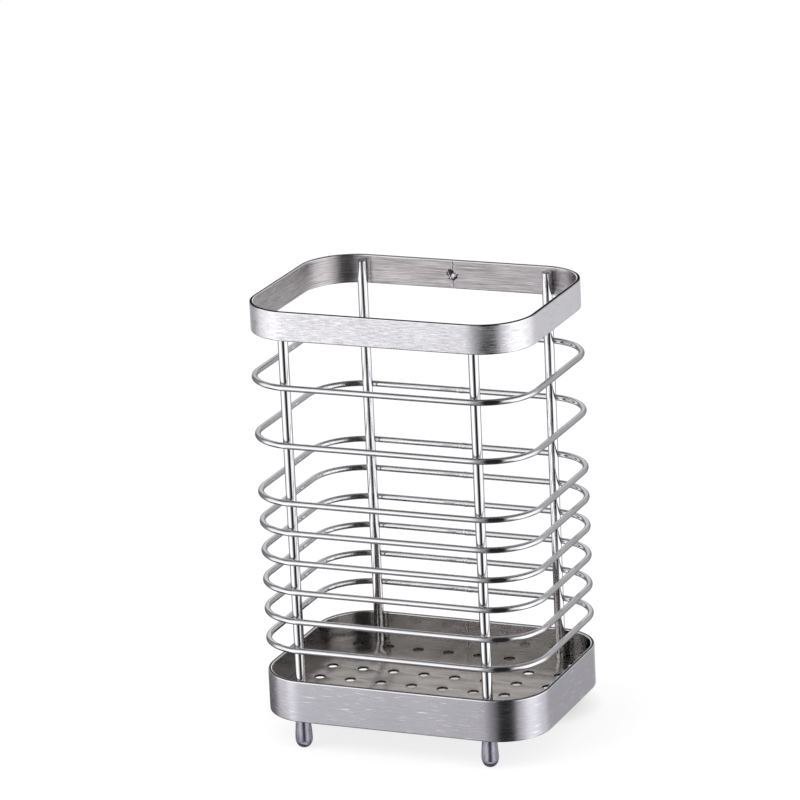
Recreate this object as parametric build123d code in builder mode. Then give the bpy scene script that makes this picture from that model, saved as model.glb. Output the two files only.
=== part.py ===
"""Wall-hung utensil drying rack, welded from stainless rod, wire and flat band.

Four upright rods stand inside a flat band at the top and a taller flat band at the
bottom. Eight wire rings are welded round the outside of the rods. A perforated plate
closes the lower band and makes a drip tray. Clear caps cover the lower rod ends, and
a headed stud through the back of the top band hangs the rack on a wall plate.

Millimetres. X runs along the long front side, Y from the front to the wall, Z up.
The origin is on the surface that the foot caps stand on, under the middle of the
overall depth and width.
"""
from build123d import *

import os
from math import sqrt

os.makedirs("parts", exist_ok=True)

# Flat bands
band_width = 110.0
band_depth = 81.6
band_corner = 19.6
band_height = 11.0
band_thickness = 1.5
tray_width = 110.8
tray_corner = 19.0
tray_height = 16.0
edge_break = 0.25

# Upright rods
rod_diameter = 3.8
rod_spacing = 74.0
rod_top_drop = 1.4
rod_end_chamfer = 0.35

# Wire rings
wire_diameter = 2.3
ring_width = 111.3
ring_corner = 19.3
close_ring_count = 6
close_ring_pitch = 11.4
open_ring_count = 2
open_ring_pitch = 22.0
rim_to_lowest_ring = 12.0
top_ring_to_band = 17.7
butt_weld_upset = 0.15
butt_weld_length = 1.4
butt_weld_root = 0.25

# Perforated floor of the tray
floor_thickness = 0.6
floor_above_rim = 5.2
drain_hole_diameter = 3.8
drain_hole_columns = 8
drain_hole_rows = 6
end_to_hole_column = 12.0
side_to_hole_row = 9.75

# Foot caps
foot_drop = 10.7
cap_mouth_diameter = 5.7
cap_bulge_diameter = 6.5
cap_bulge_height = 3.6
cap_tip_diameter = 1.2
cap_end_wall = 2.4
cap_mouth_round = 0.3

# Hanging stud
stud_diameter = 4.0
stud_free_length = 2.2
stud_head_diameter = 9.0
stud_head_thickness = 1.4
stud_head_round = 0.5
stud_weld_crown = 0.4
stud_weld_round = 0.35

# Clearances
weld_gap = 0.05
cap_fit = 0.05
cap_rim_gap = 0.05
notch_clearance = 0.15
stud_hole_clearance = 0.05

quarter_turn = 90

# Plan places worked out from the sizes above
rod_radius = rod_diameter / 2
wire_radius = wire_diameter / 2
rod_to_band = rod_radius + weld_gap + band_thickness
rod_to_wire = rod_radius + weld_gap + wire_radius
rod_reach_x = rod_spacing / 2
ring_reach_x = ring_width / 2 - wire_radius


def corner_drop(radius, corner_start):
    """Return how far a rod at rod_reach_x stands in from the flat side, on a corner arc."""
    past_start = max(0.0, rod_reach_x - corner_start)
    return radius - sqrt(radius**2 - past_start**2)


def band_seat(width, corner):
    """Return how far a rod that lies against a band stands in from its flat outer side."""
    return rod_to_band + corner_drop(corner - rod_to_band, width / 2 - corner)


rod_reach_y = band_depth / 2 - band_seat(band_width, band_corner)
tray_depth = 2 * (rod_reach_y + band_seat(tray_width, tray_corner))
ring_drop = corner_drop(ring_corner - rod_to_wire, ring_reach_x - ring_corner)
ring_reach_y = rod_reach_y + rod_to_wire + ring_drop
front_reach = ring_reach_y + wire_radius
back_reach = band_depth / 2 + stud_free_length + stud_head_thickness
cage_centre = Plane((0, (front_reach - back_reach) / 2, 0))
hole_column_pitch = (tray_width - 2 * end_to_hole_column) / (drain_hole_columns - 1)
hole_row_pitch = (tray_depth - 2 * side_to_hole_row) / (drain_hole_rows - 1)

# Heights worked out from the sizes above
tray_bottom = foot_drop
tray_top = tray_bottom + tray_height
floor_top = tray_bottom + floor_above_rim
lowest_ring = tray_top + rim_to_lowest_ring
close_heights = [lowest_ring + step * close_ring_pitch for step in range(close_ring_count)]
open_heights = [close_heights[-1] + (step + 1) * open_ring_pitch for step in range(open_ring_count)]
ring_heights = sorted(close_heights + open_heights, reverse=True)
band_bottom = ring_heights[0] + top_ring_to_band
band_top = band_bottom + band_height
cap_top = tray_bottom - cap_rim_gap
rod_bottom = cap_end_wall
rod_top = band_top - rod_top_drop
stud_height = band_bottom + band_height / 2

rod_places = {
    "front_left": (-rod_reach_x, -rod_reach_y),
    "front_right": (rod_reach_x, -rod_reach_y),
    "back_left": (-rod_reach_x, rod_reach_y),
    "back_right": (rod_reach_x, rod_reach_y),
}


def rounded_outline(width, depth, corner, inset, mode=Mode.ADD):
    """Draw a band's rounded outline, moved inwards by the inset, in the open sketch."""
    RectangleRounded(width - 2 * inset, depth - 2 * inset, corner - inset, mode=mode)


def save(piece, name):
    """Label a finished piece and write it to its own file."""
    piece.part.label = name
    export_step(piece.part, f"parts/{name}.step")


def band_section(bottom, width, depth, corner):
    """Return the closed outline of a flat band, seen from above, at its lower rim."""
    with BuildSketch(cage_centre.offset(bottom)) as section:
        rounded_outline(width, depth, corner, 0)
        rounded_outline(width, depth, corner, band_thickness, mode=Mode.SUBTRACT)
    return section.sketch


# Top band, with the hole that the hanging stud is plugged into
with BuildPart() as top_band:
    extrude(band_section(band_bottom, band_width, band_depth, band_corner), amount=band_height)
    chamfer(top_band.faces().filter_by(Axis.Z).edges(), length=edge_break)
    stud_axis = Plane(
        origin=cage_centre.from_local_coords((0, band_depth / 2, stud_height)),
        x_dir=(1, 0, 0),
        z_dir=(0, 1, 0),
    )
    with BuildSketch(stud_axis):
        Circle(stud_diameter / 2 + stud_hole_clearance)
    extrude(amount=-band_thickness, mode=Mode.SUBTRACT)
save(top_band, "top_band")

# Wall of the drip tray
with BuildPart() as tray_band:
    extrude(band_section(tray_bottom, tray_width, tray_depth, tray_corner), amount=tray_height)
    chamfer(tray_band.faces().filter_by(Axis.Z).edges(), length=edge_break)
save(tray_band, "tray_band")

# Perforated floor, notched where the rods pass down to the feet
with BuildPart() as tray_floor:
    with BuildSketch(cage_centre.offset(floor_top - floor_thickness)):
        rounded_outline(tray_width, tray_depth, tray_corner, band_thickness + weld_gap)
        with GridLocations(hole_column_pitch, hole_row_pitch, drain_hole_columns, drain_hole_rows):
            Circle(drain_hole_diameter / 2, mode=Mode.SUBTRACT)
        notch_radius = rod_radius + notch_clearance
        for x, y in rod_places.values():
            with Locations((x, y)):
                Circle(notch_radius, mode=Mode.SUBTRACT)
            edge_side = 1 if y > 0 else -1
            with Locations((x, y + edge_side * notch_radius)):
                Rectangle(2 * notch_radius, 2 * notch_radius, mode=Mode.SUBTRACT)
    extrude(amount=floor_thickness)
save(tray_floor, "tray_floor")

# Upright rods and the clear caps on their lower ends
for corner_name, (x, y) in rod_places.items():
    with BuildPart() as rod:
        with BuildSketch(cage_centre.offset(rod_bottom)):
            with Locations((x, y)):
                Circle(rod_radius)
        extrude(amount=rod_top - rod_bottom)
        chamfer(rod.faces().filter_by(Axis.Z).edges(), length=rod_end_chamfer)
    save(rod, f"rod_{corner_name}")

    with BuildPart() as foot_cap:
        cap_section = Plane(
            origin=cage_centre.from_local_coords((x, y, 0)),
            x_dir=(1, 0, 0),
            z_dir=(0, -1, 0),
        )
        bore_radius = rod_radius + cap_fit
        mouth_radius = cap_mouth_diameter / 2
        tip_radius = cap_tip_diameter / 2
        with BuildSketch(cap_section):
            with BuildLine():
                dome = EllipticalCenterArc(
                    (tip_radius, cap_bulge_height),
                    cap_bulge_diameter / 2 - tip_radius,
                    cap_bulge_height,
                    start_angle=-quarter_turn,
                    arc_size=quarter_turn,
                )
                Polyline(
                    dome @ 1,
                    (mouth_radius, cap_top - cap_mouth_round),
                    (mouth_radius - cap_mouth_round, cap_top),
                    (bore_radius, cap_top),
                    (bore_radius, cap_end_wall),
                    (0, cap_end_wall),
                    (0, 0),
                    dome @ 0,
                )
            make_face()
        revolve(axis=Axis(cap_section.origin, (0, 0, 1)))
    save(foot_cap, f"foot_cap_{corner_name}")

# Wire rings, numbered from the top, each closed by a butt weld at the middle of the back
for number, height in enumerate(ring_heights, start=1):
    with BuildPart() as ring:
        with BuildLine(cage_centre.offset(height)) as ring_path:
            FilletPolyline(
                (-ring_reach_x, ring_reach_y),
                (-ring_reach_x, -ring_reach_y),
                (ring_reach_x, -ring_reach_y),
                (ring_reach_x, ring_reach_y),
                radius=ring_corner,
                close=True,
            )
        ring_start = Plane(origin=ring_path.line @ 0, z_dir=ring_path.line % 0)
        with BuildSketch(ring_start):
            Circle(wire_radius)
        sweep(path=ring_path.line)
        weld_centre = cage_centre.from_local_coords((0, ring_reach_y, height))
        with BuildSketch(Plane(origin=weld_centre)):
            with BuildLine():
                bead = ThreePointArc(
                    (-butt_weld_length / 2, wire_radius - butt_weld_root),
                    (0, wire_radius + butt_weld_upset),
                    (butt_weld_length / 2, wire_radius - butt_weld_root),
                )
                Line(bead @ 1, bead @ 0)
            make_face()
        revolve(axis=Axis(weld_centre, (1, 0, 0)))
    save(ring, f"ring_{number}")

# Hanging stud: a plug through the band, a free shank and a flat round head
with BuildPart() as hanging_stud:
    shank_radius = stud_diameter / 2
    head_radius = stud_head_diameter / 2
    head_front = stud_free_length
    head_back = stud_free_length + stud_head_thickness
    plug_end = -band_thickness - stud_weld_crown
    stud_section = Plane(origin=stud_axis.origin, x_dir=(1, 0, 0), z_dir=(0, 0, 1))
    with BuildSketch(stud_section):
        with BuildLine():
            Polyline(
                (0, plug_end),
                (shank_radius, plug_end),
                (shank_radius, head_front),
                (head_radius, head_front),
                (head_radius, head_back),
                (0, head_back),
                close=True,
            )
        make_face()
    revolve(axis=Axis(stud_axis.origin, (0, 1, 0)))
    stud_circles = hanging_stud.edges().filter_by(GeomType.CIRCLE)
    fillet(stud_circles.sort_by(Axis.Y)[0], radius=stud_weld_round)
    fillet(stud_circles.group_by(SortBy.RADIUS)[-1], radius=stud_head_round)
save(hanging_stud, "hanging_stud")
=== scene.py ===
"""Looks of a wall-hung utensil drying rack, built round its packed construction.

Two flat steel bands, eight wire rings and four posts are welded into an open basket. A
perforated plate closes the lower band, clear caps cover the post ends, and a turned stud
hangs the rack on a wall plate. Metres, +Z up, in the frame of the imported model.
"""
import logging
import math
import random
from dataclasses import dataclass
from enum import Enum

import bmesh
import bpy
from mathutils import Matrix, Vector


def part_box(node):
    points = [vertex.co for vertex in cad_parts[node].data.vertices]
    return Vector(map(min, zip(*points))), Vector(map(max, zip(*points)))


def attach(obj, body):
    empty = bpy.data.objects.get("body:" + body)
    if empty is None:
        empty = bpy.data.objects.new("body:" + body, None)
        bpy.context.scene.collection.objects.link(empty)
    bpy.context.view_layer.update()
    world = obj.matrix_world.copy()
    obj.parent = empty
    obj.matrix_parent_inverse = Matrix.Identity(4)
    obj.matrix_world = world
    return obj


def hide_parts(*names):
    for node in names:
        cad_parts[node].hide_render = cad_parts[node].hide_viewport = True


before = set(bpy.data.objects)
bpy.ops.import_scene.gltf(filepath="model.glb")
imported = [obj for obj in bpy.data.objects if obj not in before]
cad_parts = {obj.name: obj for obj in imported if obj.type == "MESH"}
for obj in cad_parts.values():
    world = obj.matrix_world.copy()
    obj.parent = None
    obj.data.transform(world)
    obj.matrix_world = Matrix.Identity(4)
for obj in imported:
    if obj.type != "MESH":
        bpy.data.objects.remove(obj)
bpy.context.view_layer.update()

MM = 0.001
FULL_TURN = 2.0 * math.pi
BODY = "root"
POST_CORNERS = ("front_left", "front_right", "back_left", "back_right")
RING_COUNT = 8
STRIP_UV = "strip"
CARD_UV = "card"
CARD_BLUE = 1.01
NOISE_LOW, NOISE_HIGH = 0.3, 0.7
SEED_STRIDE = 7.31

log = logging.getLogger("drying_rack")

Colour = tuple[float, float, float]
Point = tuple[float, float, float]
Place = tuple[float, float]
Profile = list[Place]
Socket = bpy.types.NodeSocket
Material = bpy.types.Material
Mesh = bpy.types.Mesh
Object = bpy.types.Object


class Slot(Enum):
    """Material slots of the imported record."""

    BAND = "brushed_band"
    PLATE = "brushed_floor"
    POST = "polished_rod"
    WIRE = "polished_wire"
    STUD = "turned_stud"
    CAP = "clear_cap"


class Across(Enum):
    """Direction square to the brushing, along which a highlight is drawn out."""

    UP = (0.0, 0.0, 1.0)
    DEPTH = (0.0, 1.0, 0.0)


class Skin(Enum):
    """Surfaces of a flat band, in the order of its materials."""

    OUTSIDE = 0
    INSIDE = 1
    RIM = 2
    CREST = 3


# Node trees


class NodeBuilder:
    """Adds, feeds and joins the nodes of one tree."""

    def __init__(self, tree: bpy.types.NodeTree) -> None:
        """Take the tree to build in."""
        self.tree = tree

    def link(self, source: Socket, target: Socket) -> None:
        """Join two sockets."""
        self.tree.links.new(source, target)

    def node(self, kind: str, **settings: object) -> bpy.types.Node:
        """Add a node.

        Args:
            kind: The node's type name.
            settings: Properties of the node, by name.

        Returns:
            The new node.
        """
        made = self.tree.nodes.new(kind)
        for key, value in settings.items():
            setattr(made, key, value)
        return made

    def put(self, value: object, target: Socket) -> None:
        """Link an input to a socket, or set a plain value on it.

        Args:
            value: The socket to link from, or the value.
            target: The input.
        """
        if isinstance(value, Socket):
            self.link(value, target)
        else:
            target.default_value = value

    def feed(self, node: bpy.types.Node, **values: object) -> bpy.types.Node:
        """Link or set a node's inputs, named with underscores for spaces.

        Args:
            node: The node to feed.
            values: For each input, a socket to link from or a plain value.

        Returns:
            The same node.
        """
        for key, value in values.items():
            wanted = key.replace("_", " ")
            self.put(value, next(s for s in node.inputs if s.name == wanted and s.enabled))
        return node

    def maths(self, operation: str, *values: object) -> Socket:
        """Return one arithmetic result.

        Args:
            operation: The name of the operation.
            values: Sockets and plain numbers.

        Returns:
            The result's socket.
        """
        made = self.node("ShaderNodeMath", operation=operation)
        for value, target in zip(values, made.inputs):
            self.put(value, target)
        return made.outputs["Value"]

    def vector_maths(self, operation: str, *values: object) -> Socket:
        """Return one vector made of others.

        Args:
            operation: The name of the operation.
            values: Sockets and plain vectors.

        Returns:
            The result's socket.
        """
        made = self.node("ShaderNodeVectorMath", operation=operation)
        for value, target in zip(values, made.inputs):
            self.put(value, target)
        return made.outputs["Vector"]

    def length(self, source: Socket) -> Socket:
        """Return the length of a vector."""
        made = self.node("ShaderNodeVectorMath", operation="LENGTH")
        return self.feed(made, Vector=source).outputs["Value"]

    def vector(self, x: object = 0.0, y: object = 0.0, z: object = 0.0) -> Socket:
        """Return a vector of sockets and plain numbers."""
        return self.feed(self.node("ShaderNodeCombineXYZ"), X=x, Y=y, Z=z).outputs["Vector"]

    def parted(self, source: Socket) -> tuple[Socket, Socket, Socket]:
        """Return the X, Y and Z of a vector."""
        parts = self.feed(self.node("ShaderNodeSeparateXYZ"), Vector=source).outputs
        return parts["X"], parts["Y"], parts["Z"]


class ShaderTree(NodeBuilder):
    """A material's nodes, round one principled shader."""

    def __init__(self, name: str) -> None:
        """Make the material with its shader and output.

        Args:
            name: The material's name.
        """
        self.material = bpy.data.materials.new(name)
        self.material.use_nodes = True
        super().__init__(self.material.node_tree)
        self.tree.nodes.clear()
        self.output = self.node("ShaderNodeOutputMaterial")
        self.shader = self.node("ShaderNodeBsdfPrincipled")
        self.link(self.shader.outputs["BSDF"], self.output.inputs["Surface"])

    def object_coordinates(self) -> Socket:
        """Return the piece's own coordinates, in metres."""
        return self.node("ShaderNodeTexCoord").outputs["Object"]

    def uv_coordinates(self, layer: str) -> Socket:
        """Return the coordinates of one of the piece's own UV layers."""
        return self.node("ShaderNodeUVMap", uv_map=layer).outputs["UV"]

    def mapped(self, source: Socket, **values: Point) -> Socket:
        """Return coordinates moved by a Location or multiplied by a Scale."""
        return self.feed(self.node("ShaderNodeMapping"), Vector=source, **values).outputs["Vector"]

    def noise(self, source: Socket, cells: Point, detail: float = 2.0, rough: float = 0.5) -> Socket:
        """Return a noise between 0 and 1.

        Args:
            source: Coordinates in metres.
            cells: Cells in a metre along each axis.
            detail: Octaves of finer noise.
            rough: Weight of each finer octave.

        Returns:
            The noise's value socket.
        """
        place = self.mapped(source, Scale=cells)
        texture = self.node("ShaderNodeTexNoise")
        self.feed(texture, Vector=place, Scale=1.0, Detail=detail, Roughness=rough)
        return texture.outputs["Fac"]

    def ranged(
        self, source: Socket, low: float, high: float, start: float = NOISE_LOW, end: float = NOISE_HIGH
    ) -> Socket:
        """Return a value mapped from start..end to low..high and clamped there.

        Args:
            source: The value's socket.
            low: The result up to the start.
            high: The result from the end on.
            start: The value at which the result leaves the low.
            end: The value at which the result reaches the high.

        Returns:
            The result's socket.
        """
        spread = self.node("ShaderNodeMapRange")
        self.feed(spread, Value=source, From_Min=start, From_Max=end, To_Min=low, To_Max=high)
        return spread.outputs["Result"]

    def around(self, source: Socket, middle: float, spread: float) -> Socket:
        """Return a noise mapped to no further than a spread from a middle."""
        return self.ranged(source, middle - spread, middle + spread)

    def mixed(self, factor: Socket, first: object, second: object) -> Socket:
        """Return a colour between two colours.

        Args:
            factor: The share of the second colour, from 0 to 1.
            first: A colour socket or a plain colour.
            second: The same.

        Returns:
            The mixed colour's socket.
        """
        mix = self.node("ShaderNodeMix", data_type="RGBA")
        self.link(factor, mix.inputs["Factor"])
        for key, value in (("A", first), ("B", second)):
            target = next(s for s in mix.inputs if s.name == key and s.type == "RGBA")
            self.put((*value, 1.0) if isinstance(value, tuple) else value, target)
        return next(s for s in mix.outputs if s.type == "RGBA")

    def bump(self, height: Socket, distance: float, under: Socket | None = None) -> Socket:
        """Return a normal bent by a height.

        Args:
            height: The height, between 0 and 1.
            distance: The height of 1, in metres.
            under: A normal that this one is added to.

        Returns:
            The bent normal's socket.
        """
        bent = self.node("ShaderNodeBump")
        self.feed(bent, Strength=1.0, Distance=distance, Height=height)
        if under is not None:
            self.feed(bent, Normal=under)
        return bent.outputs["Normal"]

    def glowing(self, surface: Socket) -> Material:
        """Put another surface in the shader's place, its glow not sampled as a lamp.

        Args:
            surface: The surface's socket.

        Returns:
            The finished material.
        """
        self.tree.nodes.remove(self.shader)
        self.link(surface, self.output.inputs["Surface"])
        self.material.cycles.emission_sampling = "NONE"
        return self.material

    def dressed(
        self, colour: Socket, rough: Socket, normal: Socket, **values: object
    ) -> Material:
        """Feed the shader its colour, roughness, normal and other inputs, and return the material."""
        self.feed(self.shader, Base_Color=colour, Roughness=rough, Normal=normal, **values)
        return self.material


# Finishes


@dataclass(frozen=True)
class BrushedStrip:
    """Belt-brushed steel strip, with hairlines along the strip."""

    name: str
    light: Colour = (0.98, 0.965, 1.0)
    dark: Colour = (0.88, 0.865, 0.905)
    roughness: float = 0.37
    roughness_spread: float = 0.04
    anisotropy: float = 0.62
    hairlines: Point = (60.0, 3300.0, 1.0)
    hairline_range: Place = (0.32, 0.68)
    hairline_depth: float = 0.0030 * MM
    streaks: Point = (80.0, 1500.0, 1.0)
    streak_range: Place = (0.60, 0.78)
    streak_strength: float = 0.55
    dashes: Point = (220.0, 3600.0, 1.0)
    dash_range: Place = (0.4, 0.6)
    dash_spread: float = 0.06
    nicks: Point = (130.0, 2200.0, 1.0)
    nick_range: Place = (0.66, 0.73)
    nick_strength: float = 0.5
    nick_light: Colour = (0.98, 0.975, 0.99)
    patches: Point = (30.0, 90.0, 1.0)
    wave_depth: float = 0.003 * MM

    def material(self) -> Material:
        """Build the finish on the strip's own coordinates.

        Returns:
            The finished material.
        """
        tree = ShaderTree(self.name)
        strip = tree.uv_coordinates(STRIP_UV)
        hairline = tree.noise(strip, self.hairlines, detail=4.0, rough=0.7)
        dash = tree.noise(strip, self.dashes, detail=3.0, rough=0.7)
        streak = tree.noise(strip, self.streaks, detail=1.0)
        nick = tree.noise(strip, self.nicks, detail=1.0)
        patch = tree.noise(strip, self.patches, detail=2.0)
        base = tree.mixed(tree.ranged(hairline, 0.0, 1.0, *self.hairline_range), self.dark, self.light)
        streaked = tree.ranged(streak, 0.0, self.streak_strength, *self.streak_range)
        lit = tree.mixed(streaked, base, self.light)
        nicked = tree.ranged(nick, 0.0, self.nick_strength, *self.nick_range)
        broken = tree.ranged(dash, -self.dash_spread, self.dash_spread, *self.dash_range)
        return tree.dressed(
            tree.mixed(nicked, lit, self.nick_light),
            tree.maths("ADD", tree.around(patch, self.roughness, self.roughness_spread), broken),
            tree.bump(hairline, self.hairline_depth, tree.bump(patch, self.wave_depth)),
            Metallic=1.0,
            Anisotropic=self.anisotropy,
            Tangent=tree.vector(*Across.UP.value),
        )


@dataclass(frozen=True)
class BrushedPlate:
    """Brushed sheet that lies flat, with hairlines along the long side."""

    name: str
    light: Colour = (0.51, 0.478, 0.455)
    dark: Colour = (0.32, 0.298, 0.281)
    roughness: float = 0.24
    roughness_spread: float = 0.03
    anisotropy: float = 0.75
    hairlines: Point = (60.0, 2400.0, 2400.0)
    patches: Point = (45.0, 90.0, 90.0)
    hairline_depth: float = 0.0030 * MM
    wave_depth: float = 0.001 * MM

    def material(self) -> Material:
        """Build the finish on the piece's own coordinates.

        Returns:
            The finished material.
        """
        tree = ShaderTree(self.name)
        place = tree.object_coordinates()
        hairline = tree.noise(place, self.hairlines, detail=3.0, rough=0.65)
        patch = tree.noise(place, self.patches, detail=2.0)
        return tree.dressed(
            tree.mixed(tree.ranged(hairline, 0.0, 1.0), self.dark, self.light),
            tree.around(patch, self.roughness, self.roughness_spread),
            tree.bump(hairline, self.hairline_depth, tree.bump(patch, self.wave_depth)),
            Metallic=1.0,
            Anisotropic=self.anisotropy,
            Tangent=tree.vector(*Across.DEPTH.value),
        )


@dataclass(frozen=True)
class PolishedSteel:
    """Electropolished wire or rod, nearly a mirror, with faint drawing marks."""

    name: str
    clean: Colour = (0.90, 0.895, 0.915)
    dull: Colour = (0.80, 0.795, 0.815)
    roughness: float = 0.06
    roughness_spread: float = 0.025
    grain: Point = (900.0,) * 3
    smudges: Point = (70.0,) * 3
    grain_depth: float = 0.0002 * MM
    edge_tint: Colour = (0.36, 0.36, 0.37)

    def material(self) -> Material:
        """Build the finish on the piece's own coordinates.

        Returns:
            The finished material.
        """
        tree = ShaderTree(self.name)
        place = tree.object_coordinates()
        smudge = tree.noise(place, self.smudges, detail=3.0)
        return tree.dressed(
            tree.mixed(tree.ranged(smudge, 0.0, 1.0), self.clean, self.dull),
            tree.around(smudge, self.roughness, self.roughness_spread),
            tree.bump(tree.noise(place, self.grain, detail=2.0), self.grain_depth),
            Metallic=1.0,
            Specular_Tint=(*self.edge_tint, 1.0),
        )


@dataclass(frozen=True)
class WeldMetal:
    """Bare weld metal or a cut edge, lumpy, with darker patches: heat colour on the welds, painted shade
    where the colours are near-black.
    """

    name: str
    bright: Colour = (0.66, 0.655, 0.67)
    heat_tint_and_shade: Colour = (0.36, 0.34, 0.33)
    roughness: float = 0.24
    roughness_spread: float = 0.10
    tint_and_shade_cells: Point = (420.0,) * 3
    tint_and_shade_range: Place = (0.45, 0.75)
    lump_cells: Point = (1500.0,) * 3
    lump_depth: float = 0.05 * MM

    def material(self) -> Material:
        """Build the finish on the piece's own coordinates.

        Returns:
            The finished material.
        """
        tree = ShaderTree(self.name)
        place = tree.object_coordinates()
        # The mask picks heat-coloured patches on the welds, and painted shade on the plug and the punched
        # edge
        tint = tree.noise(place, self.tint_and_shade_cells, detail=2.0)
        lump = tree.noise(place, self.lump_cells, detail=2.0)
        return tree.dressed(
            tree.mixed(tree.ranged(tint, 0.0, 1.0, *self.tint_and_shade_range), self.bright, self.heat_tint_and_shade),
            tree.around(lump, self.roughness, self.roughness_spread),
            tree.bump(lump, self.lump_depth),
            Metallic=1.0,
        )


@dataclass(frozen=True)
class TurnedSteel:
    """Lathe-turned steel, with fine rings round the stud's own axis."""

    name: str
    centre: Point
    light: Colour = (0.76, 0.76, 0.77)
    dark: Colour = (0.56, 0.56, 0.58)
    roughness: float = 0.20
    roughness_spread: float = 0.08
    rings_per_metre: float = 3200.0
    ring_depth: float = 0.004 * MM
    smudges: Point = (260.0,) * 3

    def material(self) -> Material:
        """Build the finish round the stud's axis.

        Returns:
            The finished material.
        """
        tree = ShaderTree(self.name)
        place = tree.mapped(tree.object_coordinates(), Location=tuple(-value for value in self.centre))
        radius = tree.length(tree.mapped(place, Scale=(1.0, 0.0, 1.0)))
        groove = tree.maths("SINE", tree.maths("MULTIPLY", radius, self.rings_per_metre * FULL_TURN))
        smudge = tree.noise(place, self.smudges, detail=3.0)
        return tree.dressed(
            tree.mixed(tree.ranged(smudge, 0.0, 1.0), self.light, self.dark),
            tree.around(smudge, self.roughness, self.roughness_spread),
            tree.bump(tree.ranged(groove, 0.0, 1.0, -1.0, 1.0), self.ring_depth),
            Metallic=1.0,
        )


@dataclass(frozen=True)
class ClearVinyl:
    """Clear soft plastic with a cool tint, slightly cloudy."""

    name: str
    clear: Colour = (0.50, 0.485, 0.57)
    cloudy: Colour = (0.36, 0.345, 0.43)
    roughness: float = 0.07
    roughness_spread: float = 0.05
    refraction: float = 1.53
    clearness: float = 0.82
    clouds: Point = (320.0,) * 3
    ripple_depth: float = 0.010 * MM

    def material(self) -> Material:
        """Build the finish on the piece's own coordinates.

        Returns:
            The finished material.
        """
        tree = ShaderTree(self.name)
        cloud = tree.noise(tree.object_coordinates(), self.clouds, detail=2.0)
        return tree.dressed(
            tree.mixed(tree.ranged(cloud, 0.0, 1.0), self.clear, self.cloudy),
            tree.around(cloud, self.roughness, self.roughness_spread),
            tree.bump(cloud, self.ripple_depth),
            Transmission_Weight=self.clearness,
            IOR=self.refraction,
        )


# Meshes


def tidy_normals(mesh: Mesh, merge: float = 0.0) -> None:
    """Turn a closed mesh's faces outwards.

    Args:
        mesh: The mesh to change.
        merge: The distance within which points are made one first, or 0 for none.
    """
    shell = bmesh.new()
    shell.from_mesh(mesh)
    if merge:
        bmesh.ops.remove_doubles(shell, verts=shell.verts, dist=merge)
    bmesh.ops.recalc_face_normals(shell, faces=shell.faces)
    shell.to_mesh(mesh)
    shell.free()


def smooth(mesh: Mesh, sharp_angle: float = 40.0) -> None:
    """Shade a mesh smooth, but for edges past an angle in degrees."""
    mesh.polygons.foreach_set("use_smooth", [True] * len(mesh.polygons))
    mesh.set_sharp_from_angle(angle=math.radians(sharp_angle))


def lathe(name: str, profile: Profile, sides: int) -> Mesh:
    """Revolve a profile about Z.

    Args:
        name: The mesh's name.
        profile: Radius and height of each point, from one point on the axis to another.
        sides: Faces round the axis.

    Returns:
        The closed mesh.
    """
    points: list[Point] = []
    rows: list[list[int]] = []
    for radius, height in profile:
        start = len(points)
        if radius == 0.0:
            points.append((0.0, 0.0, height))
            rows.append([start] * sides)
            continue
        for side in range(sides):
            turn = FULL_TURN * side / sides
            points.append((radius * math.cos(turn), radius * math.sin(turn), height))
        rows.append(list(range(start, start + sides)))
    faces = []
    for lower, upper in zip(rows, rows[1:]):
        for side in range(sides):
            after = (side + 1) % sides
            corners = (lower[side], lower[after], upper[after], upper[side])
            faces.append(tuple(dict.fromkeys(corners)))
    mesh = bpy.data.meshes.new(name)
    mesh.from_pydata(points, [], faces)
    tidy_normals(mesh)
    return mesh


def arc(centre: Place, radius: float, start: float, end: float, steps: int) -> Profile:
    """Return points on an arc, its two ends among them, for angles in degrees."""
    turns = [math.radians(start + (end - start) * step / steps) for step in range(steps + 1)]
    return [(centre[0] + radius * math.cos(t), centre[1] + radius * math.sin(t)) for t in turns]


def spaced(start: float, end: float, step: float) -> list[float]:
    """Return values from start to end, both kept, no further apart than the step."""
    count = max(1, math.ceil(abs(end - start) / step))
    return [start + (end - start) * index / count for index in range(count + 1)]


def outwards(azimuth: float, elevation: float) -> Vector:
    """Return the direction away from the rack at two angles in degrees, azimuth 0 in front."""
    turn, rise = math.radians(azimuth), math.radians(elevation)
    return Vector((math.sin(turn) * math.cos(rise), -math.cos(turn) * math.cos(rise), math.sin(rise)))


def add_piece(
    name: str,
    mesh: Mesh,
    materials: list[Material],
    replaces: tuple[str, ...] = (),
) -> Object:
    """Put a finished mesh in the scene as a piece of the rack.

    Args:
        name: The piece's name.
        mesh: Its mesh, already in place.
        materials: Its materials, in the order of the mesh's material indices.
        replaces: The construction nodes that it stands for.

    Returns:
        The new object, riding on the rack's body.
    """
    mesh.name = name
    for material in materials[len(mesh.materials):]:
        mesh.materials.append(material)
    piece = bpy.data.objects.new(name, mesh)
    bpy.context.scene.collection.objects.link(piece)
    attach(piece, BODY)
    if replaces:
        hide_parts(*replaces)
    log.info("%s: %d faces", name, len(mesh.polygons))
    return piece


# Geometry Nodes


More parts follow.
